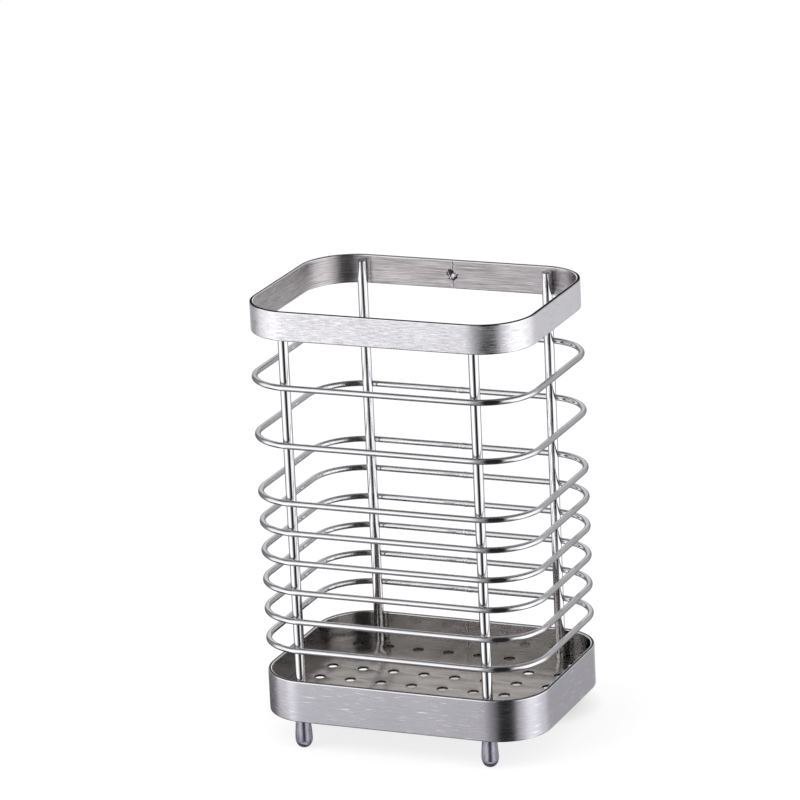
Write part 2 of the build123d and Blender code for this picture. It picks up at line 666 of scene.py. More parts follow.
class GeometryTree(NodeBuilder):
    """Geometry Nodes that make one piece, with named inputs for its sizes."""

    def __init__(self, name: str) -> None:
        """Start the tree with its geometry input and output.

        Args:
            name: The tree's name.
        """
        super().__init__(bpy.data.node_groups.new(name, "GeometryNodeTree"))
        for way in ("INPUT", "OUTPUT"):
            self.tree.interface.new_socket("Geometry", in_out=way, socket_type="NodeSocketGeometry")
        self.identifiers: dict[str, str] = {}
        self.entry = self.node("NodeGroupInput")
        self.exit = self.node("NodeGroupOutput")

    def named_input(self, label: str, kind: str, default: object = None) -> Socket:
        """Add a named input.

        Args:
            label: The input's name.
            kind: The name of its socket type, without the first word.
            default: Its value where a run gives none.

        Returns:
            Its socket inside the tree.
        """
        made = self.tree.interface.new_socket(label, in_out="INPUT", socket_type=f"NodeSocket{kind}")
        if default is not None:
            made.default_value = default
        self.identifiers[label] = made.identifier
        return self.entry.outputs[label]

    def number(self, label: str, default: float = 0.0) -> Socket:
        """Add a named number input and return its socket."""
        return self.named_input(label, "Float", default)

    def count(self, label: str, default: int) -> Socket:
        """Add a named whole number input and return its socket."""
        return self.named_input(label, "Int", default)

    def geometry(
        self,
        kind: str,
        output: str = "Geometry",
        settings: dict[str, str] | None = None,
        **values: object,
    ) -> Socket:
        """Add a geometry node of a kind, set and feed it, and return one of its outputs."""
        made = self.node(f"GeometryNode{kind}", **(settings or {}))
        return self.feed(made, **values).outputs[output]

    def circle(self, sides: int, radius: object = 1.0) -> Socket:
        """Return a circle as a curve."""
        return self.geometry("CurvePrimitiveCircle", "Curve", Resolution=sides, Radius=radius)

    def position(self) -> Socket:
        """Return the place of each point."""
        return self.node("GeometryNodeInputPosition").outputs["Position"]

    def scaled(self, source: Socket, factor: object) -> Socket:
        """Return a vector multiplied by a number."""
        made = self.node("ShaderNodeVectorMath", operation="SCALE")
        return self.feed(made, Vector=source, Scale=factor).outputs["Vector"]

    def moved(self, geometry: Socket, offset: Socket) -> Socket:
        """Return geometry with its points moved by an offset."""
        return self.geometry("SetPosition", Geometry=geometry, Offset=offset)

    def joined(self, *parts: Socket) -> Socket:
        """Return several geometries as one.

        Args:
            parts: The geometries, in the order of their links.

        Returns:
            The joined geometry's socket.
        """
        made = self.node("GeometryNodeJoinGeometry")
        for part in parts:
            self.link(part, made.inputs["Geometry"])
        return made.outputs["Geometry"]

    def scattered(self, points: Socket, instance: Socket, **values: object) -> Socket:
        """Put a real copy of a geometry on each point.

        Args:
            points: The points.
            instance: The geometry that is copied.
            values: Other inputs of the node that places the copies.

        Returns:
            The copies' geometry.
        """
        placed = {"Points": points, "Instance": instance, **values}
        copies = self.geometry("InstanceOnPoints", "Instances", **placed)
        return self.geometry("RealizeInstances", Geometry=copies)

    def lumps(self, cells: object, depth: object, seed: object) -> Socket:
        """Return an offset of smooth random direction.

        Args:
            cells: Noise cells in a metre.
            depth: The largest offset, in metres.
            seed: A fixed number that picks the pattern.

        Returns:
            The offset's socket.
        """
        noise = self.node("ShaderNodeTexNoise", noise_dimensions="4D")
        self.feed(noise, W=self.maths("MULTIPLY", seed, SEED_STRIDE), Scale=cells, Detail=1.0)
        centred = self.vector_maths("SUBTRACT", noise.outputs["Color"], (0.5, 0.5, 0.5))
        return self.scaled(centred, self.maths("MULTIPLY", depth, 2.0))

    def close(self, geometry: Socket) -> None:
        """End the tree with real geometry that carries its finish.

        Args:
            geometry: The geometry to end with.
        """
        real = self.geometry("RealizeInstances", Geometry=geometry)
        finish = self.named_input("Finish", "Material")
        dressed = self.geometry("SetMaterial", Geometry=real, Material=finish)
        self.link(dressed, self.exit.inputs["Geometry"])

    def run(
        self, finish: Material, base: Mesh | None = None, **values: object
    ) -> Mesh:
        """Evaluate the tree once.

        Args:
            finish: The material that the result carries.
            base: The mesh that enters the tree, if it needs one.
            values: The named inputs that differ from their defaults.

        Returns:
            The result as a plain mesh, with its material slots emptied for add_piece to fill.
        """
        start = base or bpy.data.meshes.new(self.tree.name)
        holder = bpy.data.objects.new(self.tree.name, start)
        bpy.context.scene.collection.objects.link(holder)
        modifier = holder.modifiers.new(self.tree.name, "NODES")
        modifier.node_group = self.tree
        for label, value in {"Finish": finish, **values}.items():
            modifier[self.identifiers[label]] = value
        graph = bpy.context.evaluated_depsgraph_get()
        result = bpy.data.meshes.new_from_object(holder.evaluated_get(graph), depsgraph=graph)
        result.materials.clear()
        holder.modifiers.remove(modifier)
        bpy.data.objects.remove(holder)
        bpy.data.meshes.remove(start)
        return result


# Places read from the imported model


@dataclass
class Layout:
    """Where the construction's pieces stand."""

    centre_y: float
    post_radius: float
    post_places: dict[str, Place]
    ring_heights: list[float]

    @classmethod
    def read(cls) -> "Layout":
        """Read the places from the construction's nodes.

        Returns:
            The layout.
        """
        tray_low, tray_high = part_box("tray_band")
        posts = {corner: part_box(f"rod_{corner}") for corner in POST_CORNERS}
        rings = [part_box(f"ring_{number}") for number in range(1, RING_COUNT + 1)]
        post_low, post_high = posts[POST_CORNERS[-1]]
        return cls(
            centre_y=(tray_low.y + tray_high.y) / 2,
            post_radius=(post_high.x - post_low.x) / 2,
            post_places={
                corner: ((low.x + high.x) / 2, (low.y + high.y) / 2)
                for corner, (low, high) in posts.items()
            },
            ring_heights=[(low.z + high.z) / 2 for low, high in rings],
        )


# The rack's pieces


@dataclass
class FlatBand:
    """A flat strip bent to a rounded rectangle and butt-welded at the middle of the back."""

    node: str
    piece: str
    corner: float
    thickness: float = 1.5 * MM
    rim_round: float = 0.45 * MM
    rim_steps: int = 4
    bright_steps: int = 2
    corner_steps: int = 18
    straight_step: float = 2.5 * MM
    face_step: float = 1.5 * MM
    support_step: float = 0.12 * MM
    wave_count: int = 4
    wave_depth: float = 0.05 * MM
    wave_length: float = 31.0 * MM
    wave_stretch: tuple[float, float] = (0.6, 1.7)
    wave_tilt: float = 90.0
    seed: int = 3

    def __post_init__(self) -> None:
        """Take the band's overall size from its node."""
        self.low, self.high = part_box(self.node)

    def path(self) -> list[tuple[float, float, float, float, float]]:
        """Walk once round the band's outside from the middle of the back.

        Returns:
            Place, outward direction and length walked at each step, the first place twice.
        """
        half_x = (self.high.x - self.low.x) / 2
        half_y = (self.high.y - self.low.y) / 2
        middle_y = (self.high.y + self.low.y) / 2
        flat_x = half_x - self.corner
        flat_y = half_y - self.corner
        places = [(x, half_y, 0.0, 1.0) for x in spaced(0.0, -flat_x, self.straight_step)]
        turns = (
            (-flat_x, flat_y, 90.0),
            (-flat_x, -flat_y, 180.0),
            (flat_x, -flat_y, 270.0),
            (flat_x, flat_y, 0.0),
        )
        for number, (x, y, start) in enumerate(turns):
            for step in range(1, self.corner_steps + 1):
                turn = math.radians(start + 90.0 * step / self.corner_steps)
                out_x, out_y = math.cos(turn), math.sin(turn)
                places.append((x + self.corner * out_x, y + self.corner * out_y, out_x, out_y))
            last_x, last_y, out_x, out_y = places[-1]
            end_x, end_y = 0.0, half_y
            if number < len(turns) - 1:
                after_x, after_y, _ = turns[number + 1]
                end_x, end_y = after_x + self.corner * out_x, after_y + self.corner * out_y
            reach = math.hypot(end_x - last_x, end_y - last_y)
            for along in spaced(0.0, reach, self.straight_step)[1:]:
                share = along / reach
                here = (last_x + (end_x - last_x) * share, last_y + (end_y - last_y) * share)
                places.append((*here, out_x, out_y))
        walked = 0.0
        steps = []
        for number, (x, y, out_x, out_y) in enumerate(places):
            if number:
                walked += math.hypot(x - places[number - 1][0], y - places[number - 1][1])
            steps.append((x, y + middle_y, out_x, out_y, walked))
        return steps

    def side(self, start: float, end: float) -> list[float]:
        """Return the rows of a flat side, with one close to each end to hold its shading."""
        turn = self.support_step if end > start else -self.support_step
        return [start, *spaced(start + turn, end - turn, self.face_step), end]

    def section(self) -> tuple[Profile, list[Skin]]:
        """Lay out the strip's section.

        Returns:
            The closed section's points, and the skin of the face after each.
        """
        edge = self.rim_round
        inner = -self.thickness
        foot, top = self.low.z + edge, self.high.z - edge
        outside = [(0.0, z) for z in self.side(foot, top)]
        top_out = arc((-edge, top), edge, 0.0, 90.0, self.rim_steps)[1:]
        top_in = arc((inner + edge, top), edge, 90.0, 180.0, self.rim_steps)[:-1]
        inside = [(inner, z) for z in self.side(top, foot)]
        low_in = arc((inner + edge, foot), edge, 180.0, 270.0, self.rim_steps)[1:]
        low_out = arc((-edge, foot), edge, 270.0, 360.0, self.rim_steps)[:-1]
        skins = [Skin.OUTSIDE] * (len(outside) - 1) + [Skin.RIM] * self.bright_steps
        skins += [Skin.CREST] * (self.rim_steps - self.bright_steps + 1) + [Skin.RIM] * self.rim_steps
        skins += [Skin.INSIDE] * (len(inside) - 1) + [Skin.RIM] * (len(low_in) + len(low_out) + 1)
        return outside + top_out + top_in + inside + low_in + low_out, skins

    def points(self, steps: list[tuple[float, float, float, float, float]], rows: Profile) -> list[Point]:
        """Place the section at each step, with a slight waviness that is still at the weld.

        Args:
            steps: The walk round the band.
            rows: The section's points.

        Returns:
            The points, step by step.
        """
        chance = random.Random(self.seed)
        waves = [
            (
                chance.uniform(*self.wave_stretch),
                chance.uniform(0.0, FULL_TURN),
                chance.uniform(-self.wave_tilt, self.wave_tilt),
            )
            for _ in range(self.wave_count)
        ]
        total = steps[-1][4]
        points = []
        for x, y, out_x, out_y, walked in steps[:-1]:
            fade = min(1.0, min(walked, total - walked) / self.wave_length)
            for offset, z in rows:
                wave = sum(
                    math.sin(FULL_TURN * walked / (self.wave_length * stretch) + phase + tilt * z)
                    for stretch, phase, tilt in waves
                )
                reach = offset + self.wave_depth * fade * wave / self.wave_count
                points.append((x + out_x * reach, y + out_y * reach, z))
        return points

    def mesh(self) -> Mesh:
        """Build the band with its skins and its strip coordinates.

        Returns:
            The closed mesh.
        """
        steps = self.path()
        rows, skins = self.section()
        count, rings = len(rows), len(steps) - 1
        across = [0.0]
        for here, there in zip(rows, rows[1:] + rows[:1]):
            across.append(across[-1] + math.hypot(there[0] - here[0], there[1] - here[1]))
        faces = []
        places: list[Place] = []
        for step in range(rings):
            here, there = step * count, (step + 1) % rings * count
            start, end = steps[step][4], steps[step + 1][4]
            for row in range(count):
                above = (row + 1) % count
                faces.append((here + row, here + above, there + above, there + row))
                places += [(start, across[row]), (start, across[row + 1])]
                places += [(end, across[row + 1]), (end, across[row])]
        mesh = bpy.data.meshes.new(self.piece)
        mesh.from_pydata(self.points(steps, rows), [], faces)
        strip = mesh.uv_layers.new(name=STRIP_UV)
        for loop, place in enumerate(places):
            strip.data[loop].uv = place
        for face in mesh.polygons:
            face.material_index = skins[face.index % count].value
        tidy_normals(mesh)
        smooth(mesh)
        return mesh

    def build(self, *finishes: Material) -> Object:
        """Put the band in the scene with a finish for each skin."""
        return add_piece(self.piece, self.mesh(), list(finishes), (self.node,))


@dataclass
class SeamWeld:
    """The lumpy butt weld inside a band, where the two ends of its strip meet."""

    band: FlatBand
    piece: str
    width: float = 0.9 * MM
    proud: float = 0.16 * MM
    lump_cells: float = 1100.0
    lump_depth: float = 0.13 * MM
    rows: int = 36
    sides: int = 10
    offset: float = -1.4 * MM
    shade_angle: float = 60.0
    seed: int = 5

    def tree(self) -> GeometryTree:
        """Build the tree that runs a bead up the band's inner face.

        Returns:
            The tree.
        """
        tree = GeometryTree("seam_bead")
        bottom = tree.number("Bottom", self.band.low.z + self.band.rim_round)
        top = tree.number("Top", self.band.high.z - self.band.rim_round)
        depth = tree.number("Depth", self.band.high.y - self.band.thickness)
        offset = tree.number("Offset", self.offset)
        half_width = tree.maths("MULTIPLY", tree.number("Width", self.width), 0.5)
        proud = tree.number("Proud", self.proud)
        cells = tree.number("Lump Cells", self.lump_cells)
        lump = tree.number("Lump Depth", self.lump_depth)
        seed = tree.number("Seed", float(self.seed))
        line = tree.geometry(
            "CurvePrimitiveLine",
            "Curve",
            {"mode": "POINTS"},
            Start=tree.vector(offset, depth, bottom),
            End=tree.vector(offset, depth, top),
        )
        path = tree.geometry("ResampleCurve", "Curve", Curve=line, Count=self.rows)
        ring = tree.circle(self.sides)
        flat = tree.geometry("Transform", Geometry=ring, Scale=tree.vector(half_width, proud, 1.0))
        bead = tree.geometry("CurveToMesh", "Mesh", Curve=path, Profile_Curve=flat, Fill_Caps=True)
        tree.close(tree.moved(bead, tree.lumps(cells, lump, seed)))
        return tree

    def build(self, finish: Material) -> Object:
        """Put the bead in the scene on the band's inner face.

        Args:
            finish: The weld's finish.

        Returns:
            The new piece.
        """
        mesh = self.tree().run(finish)
        tidy_normals(mesh)
        smooth(mesh, self.shade_angle)
        return add_piece(self.piece, mesh, [finish])


@dataclass
class WireRings:
    """Eight wire rings, each bent to a rounded rectangle and butt-welded at the back."""

    layout: Layout
    wire_diameter: float = 2.3 * MM
    corner: float = 19.3 * MM
    corner_steps: int = 24
    point_step: float = 1.1 * MM
    sides: int = 24
    weld_swell: float = 0.13
    weld_length: float = 0.8 * MM
    wander_cells: float = 24.0
    wander_depth: float = 0.10 * MM

    def tree(self) -> GeometryTree:
        """Build the tree that bends and thickens one ring.

        Returns:
            The tree.
        """
        tree = GeometryTree("wire_ring")
        width = tree.number("Width")
        depth = tree.number("Depth")
        height = tree.number("Height")
        corner = tree.number("Corner", self.corner)
        middle = tree.number("Middle", self.layout.centre_y)
        diameter = tree.number("Wire Diameter", self.wire_diameter)
        swell = tree.number("Weld Swell", self.weld_swell)
        reach = tree.number("Weld Length", self.weld_length)
        cells = tree.number("Wander Cells", self.wander_cells)
        wander = tree.number("Wander Depth", self.wander_depth)
        seed = tree.number("Seed")
        square = tree.geometry(
            "CurvePrimitiveQuadrilateral", "Curve", {"mode": "RECTANGLE"}, Width=width, Height=depth
        )
        bent = tree.geometry(
            "FilletCurve", "Curve", {"mode": "POLY"}, Curve=square, Radius=corner, Count=self.corner_steps
        )
        even = tree.geometry(
            "ResampleCurve", "Curve", {"mode": "LENGTH"}, Curve=bent, Length=self.point_step
        )
        along, away, _ = tree.parted(tree.position())
        share = tree.maths("DIVIDE", along, reach)
        squared = tree.maths("MULTIPLY", share, share)
        falloff = tree.maths("EXPONENT", tree.maths("MULTIPLY", squared, -1.0))
        at_back = tree.maths("GREATER_THAN", away, 0.0)
        swollen = tree.maths("MULTIPLY", tree.maths("MULTIPLY", falloff, at_back), swell)
        radius = tree.maths("MULTIPLY", diameter, 0.5)
        thick = tree.maths("MULTIPLY", tree.maths("ADD", swollen, 1.0), radius)
        sized = tree.geometry("SetCurveRadius", "Curve", Curve=even, Radius=thick)
        wandering = tree.moved(sized, tree.lumps(cells, wander, seed))
        raised = tree.moved(wandering, tree.vector(0.0, middle, height))
        swelling = tree.node("GeometryNodeInputRadius").outputs["Radius"]
        wire = tree.geometry(
            "CurveToMesh", "Mesh", Curve=raised, Profile_Curve=tree.circle(self.sides), Scale=swelling
        )
        tree.close(wire)
        return tree

    def build(self, finish: Material) -> list[Object]:
        """Put the rings in the scene, each in its node's place.

        Args:
            finish: The wire's finish.

        Returns:
            The new pieces.
        """
        tree = self.tree()
        pieces = []
        for number, height in enumerate(self.layout.ring_heights, start=1):
            low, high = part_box(f"ring_{number}")
            width = high.x - low.x - self.wire_diameter
            half_depth = self.layout.centre_y - low.y - self.wire_diameter / 2
            mesh = tree.run(finish, Width=width, Depth=2.0 * half_depth, Height=height, Seed=float(number))
            tidy_normals(mesh)
            smooth(mesh)
            pieces.append(add_piece(f"wire_ring_{number}", mesh, [finish], (f"ring_{number}",)))
        return pieces


@dataclass
class CrossingWelds:
    """A small weld nugget wherever a ring crosses a post."""

    layout: Layout
    along: float = 1.25 * MM
    across: float = 0.62 * MM
    upright: float = 1.35 * MM
    spread: float = 0.18
    ball_steps: int = 3
    lump_cells: float = 1400.0
    lump_depth: float = 0.20 * MM
    shade_angle: float = 80.0
    seed: int = 11

    def places(self) -> Mesh:
        """Put one loose point at each crossing.

        Returns:
            The mesh of points.
        """
        points = []
        for x, y in self.layout.post_places.values():
            side = 1.0 if y > self.layout.centre_y else -1.0
            for height in self.layout.ring_heights:
                points.append((x, y + side * self.layout.post_radius, height))
        mesh = bpy.data.meshes.new("crossings")
        mesh.from_pydata(points, [], [])
        return mesh

    def tree(self) -> GeometryTree:
        """Build the tree that sets a lumpy nugget on each point.

        Returns:
            The tree.
        """
        tree = GeometryTree("crossing_nuggets")
        along = tree.number("Along", self.along)
        across = tree.number("Across", self.across)
        upright = tree.number("Upright", self.upright)
        spread = tree.number("Spread", self.spread)
        cells = tree.number("Lump Cells", self.lump_cells)
        lump = tree.number("Lump Depth", self.lump_depth)
        seed = tree.count("Seed", self.seed)
        ball = tree.geometry("MeshIcoSphere", "Mesh", Radius=1.0, Subdivisions=self.ball_steps)
        nugget = tree.geometry("Transform", Geometry=ball, Scale=tree.vector(along, across, upright))
        least, most = tree.maths("SUBTRACT", 1.0, spread), tree.maths("ADD", 1.0, spread)
        chance = tree.node("FunctionNodeRandomValue", data_type="FLOAT")
        tree.feed(chance, Min=least, Max=most, Seed=seed)
        value = next(s for s in chance.outputs if s.enabled)
        scale = tree.vector(value, value, value)
        nuggets = tree.scattered(tree.entry.outputs["Geometry"], nugget, Scale=scale)
        tree.close(tree.moved(nuggets, tree.lumps(cells, lump, 1.0)))
        return tree

    def build(self, finish: Material) -> Object:
        """Put all nuggets in the scene as one piece.

        Args:
            finish: The weld's finish.

        Returns:
            The new piece.
        """
        mesh = self.tree().run(finish, self.places())
        tidy_normals(mesh)
        smooth(mesh, self.shade_angle)
        return add_piece("crossing_welds", mesh, [finish])


@dataclass
class Posts:
    """Four polished rods that carry the bands and rings."""

    layout: Layout
    end_chamfer: float = 0.35 * MM
    support_step: float = 0.15 * MM
    row_step: float = 8.0 * MM
    sides: int = 56

    def mesh(self, corner: str) -> Mesh:
        """Build one post in its node's place.

        Args:
            corner: The post's corner of the rack.

        Returns:
            The closed mesh.
        """
        low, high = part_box(f"rod_{corner}")
        radius = self.layout.post_radius
        cut = self.end_chamfer
        hold = self.support_step
        wall = spaced(low.z + cut + hold, high.z - cut - hold, self.row_step)
        profile = [(0.0, low.z), (radius - cut - hold, low.z), (radius - cut, low.z)]
        profile += [(radius, low.z + cut), *[(radius, z) for z in wall], (radius, high.z - cut)]
        profile += [(radius - cut, high.z), (radius - cut - hold, high.z), (0.0, high.z)]
        mesh = lathe(f"post_{corner}", profile, self.sides)
        x, y = self.layout.post_places[corner]
        mesh.transform(Matrix.Translation((x, y, 0.0)))
        smooth(mesh)
        return mesh

    def build(self, finish: Material) -> list[Object]:
        """Put the posts in the scene.

        Args:
            finish: The posts' finish.

        Returns:
            The new pieces.
        """
        return [
            add_piece(f"post_{corner}", self.mesh(corner), [finish], (f"rod_{corner}",))
            for corner in POST_CORNERS
        ]


@dataclass
class DrainPlate:
    """The perforated floor, with punched holes that draw the sheet in round their rims."""

    layout: Layout
    corner: float = 17.45 * MM
    hole_radius: float = 1.9 * MM
    end_margin: float = 10.45 * MM
    side_margin: float = 8.2 * MM
    columns: int = 8
    rows: int = 6
    draw_in: float = 0.3 * MM
    mouth_angles: tuple[float, ...] = (30.0, 60.0, 90.0)
    burr_height: float = 0.15 * MM
    burr_width: float = 0.12 * MM
    hole_sides: int = 32
    notch_radius: float = 2.05 * MM
    notch_steps: int = 14
    outline_step: float = 2.0 * MM
    corner_steps: int = 16
    merge_distance: float = 0.01 * MM
    flat_above: float = 0.98
    shade_angle: float = 32.0

    def __post_init__(self) -> None:
        """Take the plate's overall size from its node."""
        self.low, self.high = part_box("tray_floor")
        self.half_x = (self.high.x - self.low.x) / 2
        self.half_y = (self.high.y - self.low.y) / 2

    def edge_y(self, x: float) -> float:
        """Return how far the plate's long edge reaches from its middle at one x."""
        past = max(0.0, abs(x) - (self.half_x - self.corner))
        return self.half_y - self.corner + math.sqrt(self.corner**2 - past**2)

    def notch(self, x: float, side: float) -> list[Place]:
        """Walk the U cut that lets a post through.

        Args:
            x: The post's place along the edge.
            side: -1 for the front edge, 1 for the back edge.

        Returns:
            The walk's points from left to right.
        """
        reach = abs(next(iter(self.layout.post_places.values()))[1] - self.layout.centre_y)
        first, last = x - self.notch_radius, x + self.notch_radius
        turns = [math.pi * step / self.notch_steps for step in range(self.notch_steps + 1)]
        bottom = [
            (x - self.notch_radius * math.cos(turn), side * (reach - self.notch_radius * math.sin(turn)))
            for turn in turns
        ]
        return [(first, side * self.edge_y(first)), *bottom, (last, side * self.edge_y(last))]

    def long_edge(self, side: float) -> list[Place]:
        """Walk one long edge with its two notches.

        Args:
            side: -1 for the front edge, 1 for the back edge.

        Returns:
            The walk's points from left to right.
        """
        flat = self.half_x - self.corner
        post_x = max(x for x, _ in self.layout.post_places.values())
        inner = post_x - self.notch_radius
        outer = post_x + self.notch_radius
        start = math.asin((outer - flat) / self.corner)
        turns = spaced(start, math.pi / 2, math.pi / 2 / self.corner_steps)[1:]
        flat_y = self.half_y - self.corner
        bends = [
            (flat + self.corner * math.sin(turn), side * (flat_y + self.corner * math.cos(turn)))
            for turn in turns
        ]
        middle = [(x, side * self.edge_y(x)) for x in spaced(-inner, inner, self.outline_step)[1:-1]]
        left = [(-x, y) for x, y in bends[::-1]]
        return [*left, *self.notch(-post_x, side), *middle, *self.notch(post_x, side), *bends]

    def outline(self) -> Mesh:
        """Walk the plate's outline at its top face.

        Returns:
            The outline as a closed chain of edges.
        """
        flat_y = self.half_y - self.corner
        right = [(self.half_x, y) for y in spaced(-flat_y, flat_y, self.outline_step)[1:-1]]
        walk = self.long_edge(-1.0) + right + self.long_edge(1.0)[::-1] + [(-x, -y) for x, y in right]
        points = [(x, y + self.layout.centre_y, self.high.z) for x, y in walk]
        mesh = bpy.data.meshes.new("plate_outline")
        mesh.from_pydata(points, [(i, (i + 1) % len(points)) for i in range(len(points))], [])
        return mesh

    def tree(self) -> GeometryTree:
        """Build the tree that fills the outline, punches it and gives it its thickness.

        Returns:
            The tree.
        """
        tree = GeometryTree("punched_plate")
        thickness = tree.number("Thickness", self.high.z - self.low.z)
        radius = tree.number("Hole Radius", self.hole_radius)
        draw_in = tree.number("Draw In", self.draw_in)
        burr_height = tree.number("Burr Height", self.burr_height)
        burr_width = tree.number("Burr Width", self.burr_width)
        length = tree.number("Column Span", 2.0 * (self.half_x - self.end_margin))
        width = tree.number("Row Span", 2.0 * (self.half_y - self.side_margin))
        columns = tree.count("Columns", self.columns)
        rows = tree.count("Rows", self.rows)
        top = tree.number("Top", self.high.z)
        middle = tree.number("Middle", self.layout.centre_y)
        outline = tree.entry.outputs["Geometry"]
        grid = tree.geometry(
            "MeshGrid", "Mesh", Size_X=length, Size_Y=width, Vertices_X=columns, Vertices_Y=rows
        )
        centres = tree.moved(grid, tree.vector(0.0, middle, top))
        edge = tree.geometry("MeshToCurve", "Curve", Mesh=outline)
        bottom = tree.maths("MULTIPLY", thickness, -1.0)
        drop = tree.vector(0.0, 0.0, bottom)
        rim_radius = tree.maths("ADD", radius, draw_in)
        burr_radius = tree.maths("ADD", radius, burr_width)
        burr_end = tree.maths("SUBTRACT", bottom, burr_height)
        upper = self.sheet(tree, edge, centres, rim_radius)
        lower = self.sheet(tree, tree.moved(edge, drop), tree.moved(centres, drop), burr_radius)
        walls = tree.geometry(
            "ExtrudeMesh", "Mesh", {"mode": "EDGES"}, Mesh=outline, Offset=drop, Offset_Scale=1.0
        )
        burr = [(radius, burr_end), (burr_radius, burr_end), (burr_radius, bottom)]
        collar = self.collar(tree, rim_radius, draw_in, burr)
        tree.close(tree.joined(upper, lower, walls, tree.scattered(centres, collar)))
        return tree

    def sheet(self, tree: GeometryTree, edge: Socket, centres: Socket, radius: Socket) -> Socket:
        """Fill one face of the plate between its outline and its holes.

        Args:
            tree: The plate's tree.
            edge: The outline as a curve.
            centres: Points at the middles of the holes, at the face's height.
            radius: The holes' radius in this face.

        Returns:
            The face's geometry.
        """
        holes = tree.scattered(centres, tree.circle(self.hole_sides, radius))
        filled = tree.geometry("FillCurve", "Mesh", Curve=tree.joined(edge, holes))
        across, away, height = tree.parted(tree.position())
        level = tree.geometry(
            "AttributeStatistic", "Mean", {"data_type": "FLOAT"}, Geometry=centres, Attribute=height
        )
        return tree.geometry("SetPosition", Geometry=filled, Position=tree.vector(across, away, level))

    def collar(
        self,
        tree: GeometryTree,
        rim_radius: Socket,
        draw_in: Socket,
        wall_ends: list[tuple[Socket, Socket]],
    ) -> Socket:
        """Stack rings into the rounded mouth, wall and burr of one hole.

        Args:
            tree: The plate's tree.
            rim_radius: The mouth's radius at the top face.
            draw_in: The radius of the mouth's rounding.
            wall_ends: Radius and height of each ring below the mouth.

        Returns:
            The collar's geometry, round the Z axis.
        """
        spans = []
        for angle in self.mouth_angles:
            turn = math.radians(angle)
            reach = tree.maths("SUBTRACT", rim_radius, tree.maths("MULTIPLY", draw_in, math.sin(turn)))
            spans.append((reach, tree.maths("MULTIPLY", draw_in, math.cos(turn) - 1.0)))
        made = tree.geometry(
            "MeshCircle", "Mesh", {"fill_type": "NONE"}, Vertices=self.hole_sides, Radius=rim_radius
        )
        chosen: object = True
        for reach, level in spans + wall_ends:
            wall = tree.node("GeometryNodeExtrudeMesh", mode="EDGES")
            tree.feed(wall, Mesh=made, Selection=chosen, Offset_Scale=0.0)
            chosen = wall.outputs["Top"]
            flat = tree.vector_maths("MULTIPLY", tree.position(), (1.0, 1.0, 0.0))
            spread = tree.scaled(tree.vector_maths("NORMALIZE", flat), reach)
            sunk = tree.vector_maths("ADD", spread, tree.vector(0.0, 0.0, level))
            raised = wall.outputs["Mesh"]
            made = tree.geometry("SetPosition", Geometry=raised, Selection=chosen, Position=sunk)
        return made

    def build(self, finish: Material, cut_edge: Material) -> Object:
        """Put the plate in the scene.

        Args:
            finish: The finish of its flat faces.
            cut_edge: The finish of its edges and its holes, near-black as painted shade.

        Returns:
            The new piece.
        """
        mesh = self.tree().run(finish, self.outline())
        tidy_normals(mesh, merge=self.merge_distance)
        for face in mesh.polygons:
            face.material_index = int(abs(face.normal.z) < self.flat_above)
        smooth(mesh, self.shade_angle)
        return add_piece("drain_plate", mesh, [finish, cut_edge], ("tray_floor",))


@dataclass
class FootCaps:
    """Clear caps pushed on the lower ends of the posts, bulged above a rounded tip."""

    layout: Layout
    mouth_radius: float = 2.85 * MM
    bulge_radius: float = 3.25 * MM
    bulge_height: float = 3.6 * MM
    tip_radius: float = 0.6 * MM
    bore_grip: float = 0.02 * MM
    bore_step: float = 1.5 * MM
    end_wall: float = 2.4 * MM
    lip: float = 0.3 * MM
    lip_steps: int = 4
    dome_steps: int = 12
    wall_rows: int = 8
    sides: int = 48

    def outside(self, low: float, high: float) -> Profile:
        """Lay out the cap's outside.

        Args:
            low: The height of its tip.
            high: The height of its mouth.

        Returns:
            The profile from the tip's middle up to the lip.
        """
        reach = self.bulge_radius - self.tip_radius
        profile = [(0.0, low), (self.tip_radius, low)]
        for step in range(1, self.dome_steps + 1):
            turn = math.radians(90.0 * step / self.dome_steps)
            height = low + self.bulge_height * (1.0 - math.cos(turn))
            profile.append((self.tip_radius + reach * math.sin(turn), height))
        start, end = low + self.bulge_height, high - self.lip
        for row in range(1, self.wall_rows + 1):
            share = row / self.wall_rows
            ease = share * share * (3.0 - 2.0 * share)
            radius = self.bulge_radius + (self.mouth_radius - self.bulge_radius) * ease
            profile.append((radius, start + (end - start) * share))
        return profile + arc((self.mouth_radius - self.lip, end), self.lip, 0.0, 90.0, self.lip_steps)[1:]

    def bore(self, low: float, high: float) -> Profile:
        """Lay out the bore that grips the post.

        Args:
            low: The height of the cap's tip.
            high: The height of its mouth.

        Returns:
            The profile from the mouth down to the middle of the bore's end.
        """
        radius = self.layout.post_radius - self.bore_grip
        end = low + self.end_wall
        floor = end + self.bore_grip
        profile = [(radius + self.lip / 3, high), (radius, high - self.lip / 3)]
        profile += [(radius, z) for z in spaced(high - self.lip, end + self.lip, self.bore_step)]
        return profile + [(radius, end + self.lip / 2), (radius - self.lip / 2, floor), (0.0, floor)]

    def mesh(self, corner: str) -> Mesh:
        """Build one cap in its node's place.

        Args:
            corner: The post's corner of the rack.

        Returns:
            The closed mesh.
        """
        low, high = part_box(f"foot_cap_{corner}")
        profile = self.outside(low.z, high.z) + self.bore(low.z, high.z)
        mesh = lathe(f"cap_{corner}", profile, self.sides)
        x, y = self.layout.post_places[corner]
        mesh.transform(Matrix.Translation((x, y, 0.0)))
        smooth(mesh)
        return mesh

    def build(self, finish: Material) -> list[Object]:
        """Put the caps in the scene.

        Args:
            finish: The caps' finish.

        Returns:
            The new pieces.
        """
        return [
            add_piece(f"clear_cap_{corner}", self.mesh(corner), [finish], (f"foot_cap_{corner}",))
            for corner in POST_CORNERS
        ]


